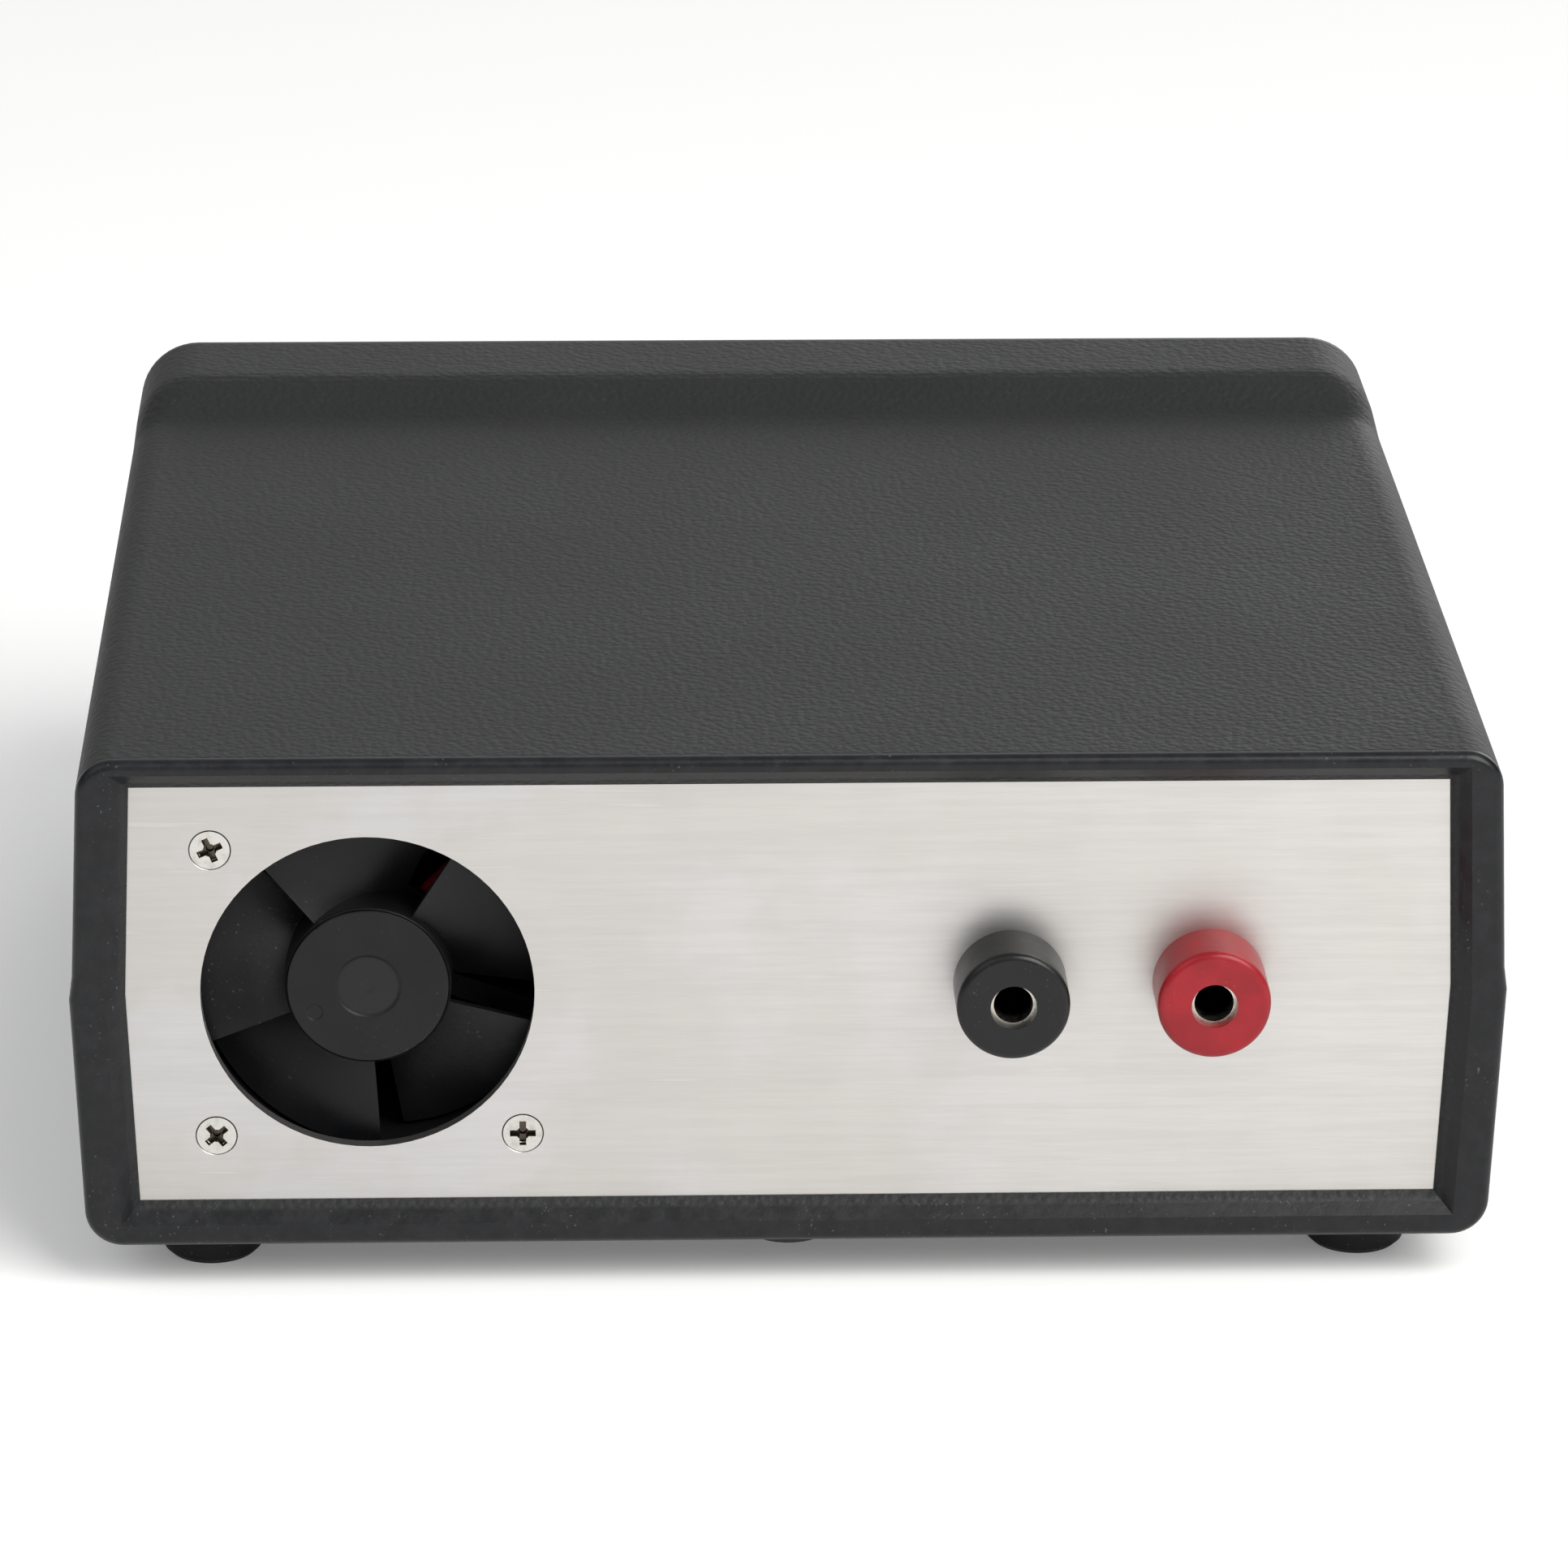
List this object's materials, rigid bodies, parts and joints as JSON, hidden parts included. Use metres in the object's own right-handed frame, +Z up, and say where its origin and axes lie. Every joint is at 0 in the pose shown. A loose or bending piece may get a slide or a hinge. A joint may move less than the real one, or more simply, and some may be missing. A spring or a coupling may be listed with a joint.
{
  "type": "bench power supply",
  "caption": "Small bench power supply in a two-part plastic case, with a cooling fan and plug sockets on the rear panel and knobs, rocker switch and display on the front.",
  "frame": {"origin": "middle of the footprint, on the surface that the feet stand on", "axes": "+Z up, the control panel faces -Y, the rear panel with the fan faces +Y, +X is the user's right when facing the controls"},
  "size_m": [0.1494, 0.1538, 0.0631],
  "materials": {
    "case_plastic": "fine leather grain",
    "black_steel": "black oxide",
    "foot_rubber": "matt",
    "panel_aluminium": "brushed and clear anodised",
    "front_panel_finish": "brushed and clear anodised",
    "fan_plastic": "satin",
    "fan_rotor_plastic": "satin",
    "magnet": "matt",
    "bright_steel": "ground",
    "bronze": "sintered",
    "circuit_board": "solder mask",
    "core_steel": "laminated",
    "copper": "enamelled",
    "nickel_screw": "nickel plated",
    "nickel_nut": "nickel plated",
    "socket_black": "glossy",
    "socket_red": "glossy",
    "sleeve_nickel": "nickel plated",
    "ring_plastic": "plain",
    "pot_case": "plated",
    "knob_plastic": "satin",
    "switch_plastic": "satin",
    "rocker_plastic": "glossy",
    "window_tint": "tinted",
    "digit_block": "grey face",
    "sink_aluminium": "extruded",
    "chip_plastic": "moulded",
    "ferrite": "painted powder core",
    "capacitor_sleeve": "shrink sleeve",
    "terminal_plastic": "moulded",
    "lead_black": "insulation",
    "lead_red": "insulation",
    "ribbon_grey": "flat cable"
  },
  "bodies": {
    "housing": {"board_screws": "nickel_screw", "bottom_shell": "case_plastic", "case_screws": "black_steel", "converter_board": "circuit_board", "current_digits": "digit_block", "current_pot": "pot_case", "display_board": "circuit_board", "display_ribbon": "ribbon_grey", "display_window": "window_tint", "fan_bearing": "bronze", "fan_board": "circuit_board", "fan_coils": "copper", "fan_core": "core_steel", "fan_frame": "fan_plastic", "fan_lead_black": "lead_black", "fan_lead_red": "lead_red", "fan_nuts": "nickel_nut", "fan_screws": "nickel_screw", "filter_capacitors": "capacitor_sleeve", "foot_front_left": "foot_rubber", "foot_front_right": "foot_rubber", "foot_rear_left": "foot_rubber", "foot_rear_right": "foot_rubber", "front_panel": "front_panel_finish", "heat_sink": "sink_aluminium", "inductor_core": "ferrite", "inductor_winding": "copper", "input_lead_black": "lead_black", "input_lead_red": "lead_red", "input_socket_black": "socket_black", "input_socket_black_sleeve": "sleeve_nickel", "input_socket_red": "socket_red", "input_socket_red_sleeve": "sleeve_nickel", "output_lead_black": "lead_black", "output_lead_red": "lead_red", "output_socket_black": "socket_black", "output_socket_black_sleeve": "sleeve_nickel", "output_socket_red": "socket_red", "output_socket_red_sleeve": "sleeve_nickel", "pot_nuts": "nickel_nut", "power_switch_body": "switch_plastic", "power_transistors": "chip_plastic", "rear_panel": "panel_aluminium", "socket_nuts": "nickel_nut", "socket_rings": "ring_plastic", "switch_lead": "lead_red", "terminal_blocks": "terminal_plastic", "top_shell": "case_plastic", "voltage_digits": "digit_block", "voltage_pot": "pot_case"},
    "fan_spinner": {"fan_rotor": "fan_rotor_plastic", "fan_magnet": "magnet", "fan_shaft": "bright_steel"},
    "voltage_control": {"voltage_knob": "knob_plastic", "voltage_pot_shaft": "bright_steel"},
    "current_control": {"current_knob": "knob_plastic", "current_pot_shaft": "bright_steel"},
    "power_rocker": {"power_switch_rocker": "rocker_plastic"}
  },
  "joints": [
    {"name": "fan_spin", "type": "hinge", "parent": "housing", "child": "fan_spinner", "pos_m": [0.0439, 0.0637, 0.033], "axis": [0, 1, 0], "continuous": true},
    {"name": "voltage_turn", "type": "hinge", "parent": "housing", "child": "voltage_control", "pos_m": [0.02, -0.0687, 0.0422], "axis": [0, 1, 0], "range_deg": [-150, 150]},
    {"name": "current_turn", "type": "hinge", "parent": "housing", "child": "current_control", "pos_m": [0.05, -0.0687, 0.0422], "axis": [0, 1, 0], "range_deg": [-150, 150]},
    {"name": "power_rock", "type": "hinge", "parent": "housing", "child": "power_rocker", "pos_m": [-0.051, -0.0596, 0.0222], "axis": [1, 0, 0], "range_deg": [-22, 0]}
  ]
}
